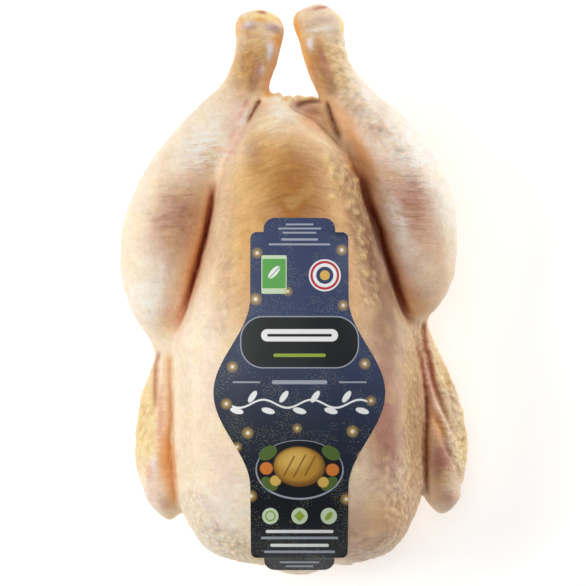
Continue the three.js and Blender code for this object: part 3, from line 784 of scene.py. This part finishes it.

# Dabs: tone, middle as seen, half sizes in mm, strength, turn in degrees if any. Besides the skin's own tones
# they hold painted light and shade: paler where the light falls, darker where it falls off
dabs = [
    # breast
    ("tan", (0, 20), (75, 130), 1), ("cream", (-55, -90), (34, 90), 0.95, 4),
    ("ivory", (-62, -30), (20, 50), 0.6, 8), ("honey", (-24, 84), (24, 30), 0.7, 20),
    ("gold", (-27, 90), (9, 20), 0.6, 16), ("gold", (2, 58), (24, 46), 0.9),
    ("gold", (-4, 84), (12, 20), 0.35), ("honey", (-36, 50), (10, 40), 0.6, 8),
    # the cream, white and straw dabs at the tail end of the breast are its pale skin, made lighter still with
    # painted light
    ("cream", (-12, 112), (22, 13), 0.95, -8), ("white", (-9, 117), (16, 7), 0.7, -20),
    ("cream", (10, 106), (18, 5), 0.8, -36), ("honey", (32, 66), (9, 36), 0.5, 24),
    ("straw", (6, 98), (18, 9), 0.4, -10), ("cream", (20, 97), (7, 26), 0.55, 38),
    # the brown dabs down the right side of the breast and body are painted shade where the light falls off
    ("straw", (32, 78), (5, 18), 0.5, 28), ("brown", (40, 64), (9, 34), 0.65, 24),
    ("brown", (51, 26), (11, 42), 1, 18), ("brown", (60, -20), (14, 50), 0.75, 8),
    ("mauve", (58, -84), (16, 56), 0.95, 2), ("tan", (79, -80), (10, 70), 0.9),
    ("brown", (80, -84), (7, 60), 0.4), ("tan", (66, -145), (24, 26), 0.6, 20),
    ("pink", (40, -160), (18, 26), 0.8), ("mauve", (62, -98), (12, 22), 0.4),
    ("blush", (66, -140), (18, 24), 0.45, 20), ("apricot", (62, -150), (20, 16), 0.4, 30),
    # the white dab low on the left side is painted light
    ("butter", (-44, -158), (26, 16), 0.4, -30), ("white", (-46, -146), (24, 36), 0.85, -20),
    ("blush", (-45, -123), (14, 26), 0.7, 6), ("blush", (-56, -60), (12, 30), 0.4),
    # left leg
    ("cream", (-80, 40), (38, 90), 1, -14), ("ivory", (-54, 100), (30, 24), 0.95, 38),
    ("white", (-58, 92), (24, 16), 0.8, 38), ("white", (-92, -2), (20, 38), 0.9),
    ("pink", (-77, 44), (24, 34), 0.85, -10), ("mauve", (-77, 44), (16, 24), 0.45, -6),
    # the apricot dab beside the lower left leg fold is painted shade on the thigh's inner slope
    ("mauve", (-72, 56), (10, 11), 0.25), ("apricot", (-67, 10), (7, 30), 0.5, -14),
    ("ivory", (-99, 60), (9, 40), 0.6, -14), ("butter", (-82, -24), (8, 10), 0.35),
    ("rose", (-44, 90), (10, 2.2), 0.5, -12), ("rose", (-40, 100), (3, 9), 0.5, -28),
    ("white", (-85, 14), (2.8, 3.8), 0.9, 10), ("blush", (-76, -6), (10, 24), 0.6, -10),
    # right leg; its white and ivory dabs are pale skin made lighter with painted light
    ("pink", (70, 60), (30, 70), 0.95, 20), ("ivory", (64, 112), (30, 26), 0.95, -40),
    ("white", (84, 88), (20, 34), 1, 30), ("white", (70, 97), (20, 22), 0.9, 30),
    ("mauve", (76, 54), (14, 24), 0.6, 10), ("pink", (84, 4), (16, 28), 0.5),
    ("apricot", (84, 0), (16, 30), 0.55, 20), ("ivory", (84, 10), (12, 24), 0.6, 20),
    ("white", (100, 60), (12, 44), 0.8, 10), ("white", (66, 40), (10, 40), 0.9, 18),
    ("blush", (62, 20), (8, 26), 0.5, 18), ("apricot", (38, 100), (6, 26), 0.6, 24),
    ("tan", (47, 84), (6, 18), 0.4, 24),
    # shanks and hocks
    ("tan", (-28, 148), (14, 26), 1, -14), ("apricot", (-14, 138), (8, 26), 0.8, -16),
    ("tan", (16, 150), (12, 30), 1, 14), ("apricot", (9, 148), (5, 24), 0.5, 12),
    ("brown", (14, 142), (4, 16), 0.35, 12), ("straw", (28, 150), (7, 26), 0.7, 14),
    ("cream", (36, 152), (6, 24), 0.9, 14), ("cream", (22, 168), (12, 5), 0.8),
    ("white", (44, 128), (8, 14), 0.8, 35), ("amber", (-6, 162), (2.8, 8), 0.7, -6),
    ("amber", (2.5, 166), (3, 12), 0.8, 6), ("butter", (-20, 177), (18, 4), 0.8),
    ("amber", (-35, 174), (3, 4), 0.7, -20), ("amber", (-22, 175), (8, 1.8), 0.75),
    ("amber", (-9, 175.5), (5, 2.6), 0.6, -20), ("amber", (-5.5, 168), (1.8, 7), 0.7),
    ("lilac", (-30, 171.5), (7, 3.4), 0.8, 10), ("tan", (-32, 167.5), (5, 2.6), 0.7, 6),
    ("lilac", (-14, 170.5), (7, 3.8), 1, -26), ("lilac", (20, 174.5), (13, 4.6), 0.7, 4),
    ("cream", (18, 171.5), (10, 4), 0.8, 4), ("amber", (-5, 168), (2.2, 9), 0.9),
    ("amber", (-8.5, 160), (3, 4), 0.9, -10), ("amber", (-37, 168), (2, 6), 0.6),
    # the pearl dab on the left hock is a painted highlight
    ("amber", (-12.5, 162), (4, 5), 0.8, -10), ("pearl", (-30.5, 172.5), (2.2, 1.6), 0.9),
    ("mauve", (-26, 170), (3, 1.6), 0.35, 10), ("brown", (-25, 165.5), (8, 1.4), 0.45, 6),
    ("brown", (-20, 152), (3, 9), 0.35, -8), ("blush", (-33, 180), (6, 3), 0.8, 10),
    # the pearl dabs on this line and the next are painted highlights on the shanks; the long one on the left
    # shank is partly the pale tendon under it
    ("pearl", (-15.5, 156), (3, 7.5), 1, -12), ("pearl", (-22, 143), (2.4, 3), 0.8),
    ("pearl", (11.5, 160), (3, 5.5), 1, 8), ("mauve", (-25, 145), (3.2, 12), 0.8, 8),
    ("brown", (-27, 134), (4, 7), 0.6), ("mauve", (19, 148), (3, 14), 0.8, 16),
    ("brown", (23, 134), (4.6, 9), 0.6, 20), ("blood", (-21, 180), (4, 1.4), 0.9, -10),
    ("blood", (18, 184.5), (8, 1.2), 0.7, 12),
    # tail fat and the flap of skin beside it; the white on the fat is its pale colour, made lighter with
    # painted light
    ("butter", (-8, 124.5), (15, 4), 0.9), ("white", (-10, 123.5), (11, 3.2), 0.75),
    ("amber", (-17, 127), (3.6, 2.4), 0.9), ("amber", (-5, 124), (2.6, 2.4), 0.8),
    ("butter", (7, 124.5), (5, 2), 0.7), ("apricot", (14, 111), (12, 8), 0.8, -38),
    ("mauve", (10, 118), (10, 4), 0.5, -10), ("blush", (15, 111), (5, 5), 0.5, -38),
    # tendon and bare meat beside the left shank
    ("blood", (-31, 121.5), (1.8, 3.4), 0.7, -28), ("blush", (-38, 116), (5, 12), 0.7, -30),
    # wings
    ("butter", (-98, -86), (12, 60), 0.85), ("cream", (-95, -130), (14, 22), 0.9),
    # the apricot strip between the left wing and the body is painted shade
    ("apricot", (-83, -112), (7, 30), 0.9, 5), ("rose", (-87, -78), (3, 22), 0.8),
    ("mauve", (-84, -138), (5, 6), 0.6, 20), ("pearl", (-90.5, -114), (2.6, 7), 0.9, 4),
    ("rose", (-93, -119), (2.4, 8), 0.7), ("blush", (-94, -134), (12, 14), 1),
    ("butter", (102, -64), (14, 50), 0.8, 12), ("straw", (104, -70), (12, 44), 0.5, 12),
    ("mauve", (96, -112), (10, 26), 1, 8), ("rose", (89, -60), (4, 34), 0.8, 8),
    ("apricot", (92, -84), (5, 8), 0.8, 10), ("butter", (99, -124), (6, 8), 0.45),
    ("blush", (99, -128), (5, 10), 0.4), ("pink", (102, -137), (10, 8), 0.8),
    ("butter", (112, -100), (7, 24), 0.8, 8), ("cream", (104, -70), (11, 26), 0.75, 12),
    ("honey", (99.5, -58), (2.6, 12), 0.5, 14), ("apricot", (95, -90), (6, 10), 0.7, 10),
]
dabs += [("butter", at, size, 0.6, *turn) for at, size, rise, *turn in stripLumps]

# Finely wrinkled skin: middle as seen, half sizes in mm, strength, turn in degrees if any
wrinkled = [
    ((-4, 70), (44, 60), 1), ((-38, 20), (18, 60), 0.6, 6), ((44, 30), (16, 60), 0.6, 16),
    ((-78, 50), (18, 24), 1.4), ((-60, 86), (22, 16), 1.1, 20), ((72, 60), (20, 34), 1.5, 10),
    ((-28, 146), (14, 30), 0.8, -14), ((22, 146), (16, 34), 0.8, 14), ((-92, -90), (16, 60), 0.6),
    ((100, -90), (16, 60), 0.8, 6), ((14, 112), (12, 12), 0.8, -38),
]

# Colour along lines: tone, path, reach to its left and right in mm, fade, strength. The apricot, brick, umber
# and brown along the folds, creases and gaps are painted shade in them
tints = [
    ("apricot", legFoldLeft, 8, 1.5, (0.25, 0.2), 0.8), ("brick", legFoldLeft, 2.6, 1.3, (0.15, 0.35), 0.9),
    ("umber", legFoldLeft, 1.6, 1.0, (0.35, 0.45), 0.95),
    ("rose", [(-30, 124), (-33, 116), (-38, 107)], 2.2, 1.8, (0.2, 0.3), 0.6),
    ("pearl", [(-30, 119), (-32.5, 113), (-36, 106)], 1.1, 1.1, (0.2, 0.2), 0.85),
    ("rose", tipFoldLeft, 1.4, 1.0, (0.3, 0.2), 0.35), ("umber", tendonGap, 1.0, 0.9, (0.2, 0.3), 0.9),
    ("brown", flapTop, 1.4, 1.8, (0.2, 0.2), 0.9), ("umber", flapEdge, 1.6, 1.1, (0.15, 0.3), 0.9),
    ("apricot", legFoldRight, 1.5, 7.0, (0.1, 0.2), 0.7),
    ("brick", legFoldRight, 1.6, 3.6, (0.35, 0.2), 0.9),
    ("umber", legFoldRight, 1.3, 2.4, (0.45, 0.3), 0.95), ("brown", bellyFold, 1.6, 0.4, (0.2, 0.2), 0.4),
    ("amber", [(3, 182), (0.6, 176), (1.4, 166), (4.5, 156), (9, 146), (14, 136)],
     1.6, 1.6, (0.05, 0.4), 0.65),
    ("butter", [(28.6, 179.4), (31.4, 174.2), (32, 166)], 1.6, 1.6, (0.2, 0.2), 0.8),
    ("white", [(4, 170), (12, 168.5), (20, 170.5), (29, 169)], 1.1, 1.1, (0.2, 0.2), 0.7),
    ("umber", wingCreaseRight, 1.5, 1.3, (0.05, 0.55), 0.7),
    ("brick", wingCreaseRight, 1.7, 1.8, (0.1, 0.3), 0.5),
    ("blush", [(89.7, -69.5), (97, -84), (106, -98)], 1.6, 1.6, (0.2, 0.3), 0.6),
    ("brick", bodyGapRight, 1.4, 1.8, (0.2, 0.1), 0.7), ("umber", bodyGapRight, 1.0, 1.0, (0.5, 0.2), 0.6),
    ("brick", wingCreaseLeft, 1.6, 1.6, (0.1, 0.4), 0.7),
    ("apricot", bodyGapLeft, 3.0, 2.0, (0.1, 0.1), 0.7), ("brick", bodyGapLeft, 1.0, 1.2, (0.3, 0.15), 0.4),
    ("brick", wingGrooveRight, 1.2, 1.2, (0.2, 0.4), 0.3),
]


def paintSkin(piece, relief):
    points, normals = readShape(piece.data)
    seen = seenFrom(points)
    # ragged edges for all the fields of colour
    ragged = [1.3 * grain(points, 0.012, shift) + 0.7 * grain(points, 0.004, shift) for shift in (21.3, 37.9)]
    ragged = seen + np.stack(ragged, axis=1)
    colour = np.tile(linear(tones["cream"]), (len(points), 1))

    def lay(tone, weight):
        colour[:] = colour + (linear(tones[tone]) - colour) * np.clip(weight, 0, 1)[:, None]

    for tone, at, size, amount, *turn in dabs:
        lay(tone, amount * ovalWeight(ragged, at, size, *turn))
    upward = smoothStep(normals[:, 2], -0.45, 0.2)
    # down-facing skin gets the darker under tone, partly its own colour and partly painted shade that holds
    # down the light from the glowing floor
    lay("under", 0.9 * (1 - upward))
    mottle = grain(points, 0.014, 5.1)
    lay("pink", (0.12 + 0.3 * (1 - upward)) * smoothStep(mottle, 0.1, 0.7))
    lay("butter", (0.16 + 0.2 * (1 - upward)) * smoothStep(-mottle, 0.1, 0.7))
    # paler tops on the pit bumps and crumpled ridges, partly their own tone and partly painted highlight;
    # mauve painted shade in the hollows between ridges, darker painted shade between the bumps, and painted
    # light and shade along the fine folds
    lay("straw", 0.3 * smoothStep(relief["pits"], 0.15, 0.6))
    lay("straw", 0.45 * smoothStep(relief["ridge"], 0.1, 0.8))
    lay("mauve", 0.25 * smoothStep(-relief["ridge"], 0.05, 0.5))
    shade = 1 - 0.12 * relief["strength"] * (1 - smoothStep(relief["pits"], 0.05, 0.35))
    colour *= (shade * (1 + 0.05 * relief["folded"]))[:, None]
    creases = np.full(len(points), 0.12)
    for at, size, amount, *turn in wrinkled:
        creases = np.maximum(creases, amount * ovalWeight(seen, at, size, *turn))
    inFold = np.zeros(len(points))
    facing = smoothStep(normals[:, 2], -0.25, 0.25) * (points[:, 2] > 0.02)
    nudged = seen + 0.35 * (ragged - seen)
    for tone, path, left, right, fade, amount in tints:
        distance, share, side = alongPath(nudged, path, max(left, right) * 2.5)
        reach = np.where(side < 0, left, right)
        weight = amount * np.exp(-(distance / reach) ** 2) * fadeEnds(share, fade) * facing
        lay(tone, weight)
        # where the umber shade is painted, the fold bottoms are also made rough and lose their coat
        if tone == "umber":
            inFold = np.maximum(inFold, weight)
    # painted shade in the folds at the neck and tail ends
    for end, path, depth, width, fade in endFolds:
        lay("brick", 0.16 * depth * endWeight(points, normals, end, path, width * 0.7, fade))
    bumpy = np.maximum(relief["strength"], 0.55 * (1 - upward) * smoothStep(points[:, 2], 0.001, 0.01))
    writeColours(piece.data, "tone", np.clip(colour, 0, 1))
    # finish holds how wrinkled the skin is, how strong the umber fold shade is and how bumpy it is; the
    # shader makes bumps, roughness and coat from it, and paints highlight and shade on the wrinkles and lumps
    writeColours(piece.data, "finish", np.stack([creases, inFold, bumpy], axis=1))


skinLook = {
    "roughness": 0.45, "foldRoughness": 0.9, "coat": 0.04,
    "wrinkleDepth": 0.0022, "bumpDepth": 0.0020, "fineDepth": 0.0004,
    "arch": 0.02,  # how far the fine wrinkles bend round the breast
    "warmth": (0.8, 1.2, 1.8),  # darker spots lose blue first, then green
    "finish": {
        "Specular IOR Level": 0.3, "Coat Roughness": 0.25, "Subsurface Weight": 0.25,
        "Subsurface Radius": (1.0, 0.4, 0.18), "Subsurface Scale": 0.003,
    },
}


def skinMaterial():
    material, tree, shader = newMaterial("skin")
    tone = addNode(tree, "Attribute", attribute_name="tone").outputs["Color"]
    finish = addNode(tree, "Attribute", attribute_name="finish").outputs["Color"]
    creases, inFold, bumpy = addNode(tree, "SeparateColor", {0: finish}).outputs
    place = addNode(tree, "TexCoord").outputs["Object"]
    x, y, z = addNode(tree, "SeparateXYZ", {0: place}).outputs
    square = times(x, x)
    arch = times(calc("DIVIDE", square, plus(square, 0.0012)), skinLook["arch"])
    rows = addNode(tree, "CombineXYZ", {0: times(x, 0.2), 1: plus(y, arch), 2: times(z, 0.5)})
    wrinkles = addNode(tree, "TexNoise", {"Vector": rows.outputs[0], "Scale": 400.0, "Detail": 3.0,
                                          "Roughness": 0.55, "Distortion": 0.4})
    lumpy = addNode(tree, "TexVoronoi", {"Vector": place, "Scale": 260.0, "Smoothness": 0.35},
                    feature="SMOOTH_F1")
    fine = addNode(tree, "TexNoise", {"Vector": place, "Scale": 900.0, "Detail": 2.0}).outputs[0]
    blotch = addNode(tree, "TexNoise", {"Vector": place, "Scale": 260.0, "Detail": 3.0, "Roughness": 0.6})
    pores = addNode(tree, "TexVoronoi", {"Vector": place, "Scale": 330.0, "Randomness": 0.85})
    pore = minus(0.34, pores.outputs["Distance"], clamp=True)
    wrinkle = times(minus(wrinkles.outputs[0], 0.5), creases)
    lump = times(minus(0.42, lumpy.outputs["Distance"]), bumpy)
    # how far each pattern lightens or darkens the skin, and where that starts: painted highlight and shade on
    # the wrinkles and lumps, random changes of tone from the fine noise and the blotches, and darker pores
    shade = calc("MULTIPLY_ADD", wrinkle, 0.75, 1.0)
    for pattern, change, start in (
            (lump, 0.3, 1.0), (fine, 0.1, 0.95), (blotch.outputs[0], 0.26, 0.885), (pore, -0.4, 1.0)):
        shade = times(shade, calc("MULTIPLY_ADD", pattern, change, start))
    warm = addNode(tree, "CombineXYZ", enumerate(calc("POWER", shade, power) for power in skinLook["warmth"]))
    scaled = addNode(tree, "VectorMath", {0: tone, 1: warm.outputs[0]}, operation="MULTIPLY")
    grained = calc("MULTIPLY_ADD", pore, -1.4, fine)
    bump = {}
    for height, depth in ((wrinkle, "wrinkleDepth"), (lump, "bumpDepth"), (grained, "fineDepth")):
        bump.update({"Height": height, "Distance": skinLook[depth], "Strength": 0.8})
        bump["Normal"] = addNode(tree, "Bump", bump).outputs[0]
    drier = skinLook["foldRoughness"] - skinLook["roughness"]
    setInputs(shader, {
        "Base Color": scaled.outputs[0], "Normal": bump["Normal"],
        "Roughness": calc("MULTIPLY_ADD", inFold, drier, skinLook["roughness"], clamp=True),
        "Coat Weight": times(minus(1, inFold, clamp=True), skinLook["coat"]), **skinLook["finish"],
    })
    return material


def trimSkin(piece, covered):
    # Fewer faces on the underside and below the card, which are smooth
    mesh = piece.data
    points, normals = readShape(mesh)
    under = (normals[:, 2] < -0.1) | (points[:, 2] < 0.004) | covered
    group = piece.vertex_groups.new(name="underside")
    group.add(np.flatnonzero(under).tolist(), 1.0, "REPLACE")
    triangles = 2 * len(mesh.polygons)
    applyModifier(piece, "DECIMATE", ratio=skinSet["trianglesKept"] / triangles, vertex_group="underside")
    piece.vertex_groups.clear()
    print("skin:", sum(len(p.vertices) - 2 for p in mesh.polygons), "triangles")


def makeBird():
    skin = makeSkin()
    label = makeLabel()
    relief = addDetails(skin)
    points = readValues(skin.data.vertices, "co")
    covered = tuckSkin(points, label)
    points[:, 2] = np.maximum(points[:, 2], 0)
    writePoints(skin.data, points)
    paintSkin(skin, relief)
    trimSkin(skin, covered)
    skin.data.materials.append(skinMaterial())
    pick(skin)
    bpy.ops.object.shade_smooth()
    return skin, label


# Studio

studioSet = {
    "floor": (250, 250, 250),
    "floorDrop": 0.0003,  # keeps the floor clear of the flat back
    "floorGlow": 0.40,
    "sky": 0.25,
}

lightSet = [
    {"name": "left", "at": (-1.3, 0.15, 1.15), "size": 0.9, "power": 14},
    {"name": "right", "at": (1.3, 1.0, 0.45), "size": 0.8, "power": 13},
    {"name": "top", "at": (-0.2, 0.2, 2.6), "size": 1.5, "power": 13.5},
]


def makeStudio():
    bpy.ops.mesh.primitive_plane_add(size=6, location=(0, 0, -studioSet["floorDrop"]))
    floor = bpy.context.object
    floor.name = "floor"
    glow = {"Emission Color": (1, 1, 1, 1), "Emission Strength": studioSet["floorGlow"]}
    floor.data.materials.append(plainMaterial("floor", studioSet["floor"], 0.9, **glow))
    for light in lightSet:
        aim = Vector((0, 0, 0.08)) - Vector(light["at"])
        turn = aim.to_track_quat("-Z", "Y").to_euler()
        bpy.ops.object.light_add(type="AREA", location=light["at"], rotation=turn)
        lamp = bpy.context.object
        lamp.name = light["name"]
        lamp.data.energy = light["power"]
        lamp.data.size = light["size"]
    world = bpy.data.worlds.new("studio")
    world.use_nodes = True
    setInputs(world.node_tree.nodes["Background"], {"Color": (1, 1, 1, 1), "Strength": studioSet["sky"]})
    bpy.context.scene.world = world
    bpy.context.scene.view_settings.view_transform = "Standard"
    return floor


addCamera()
skin, label = makeBird()
floor = makeStudio()
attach(skin, "root")
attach(label, "root")
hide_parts("chicken")
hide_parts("label")
print("studio: done")
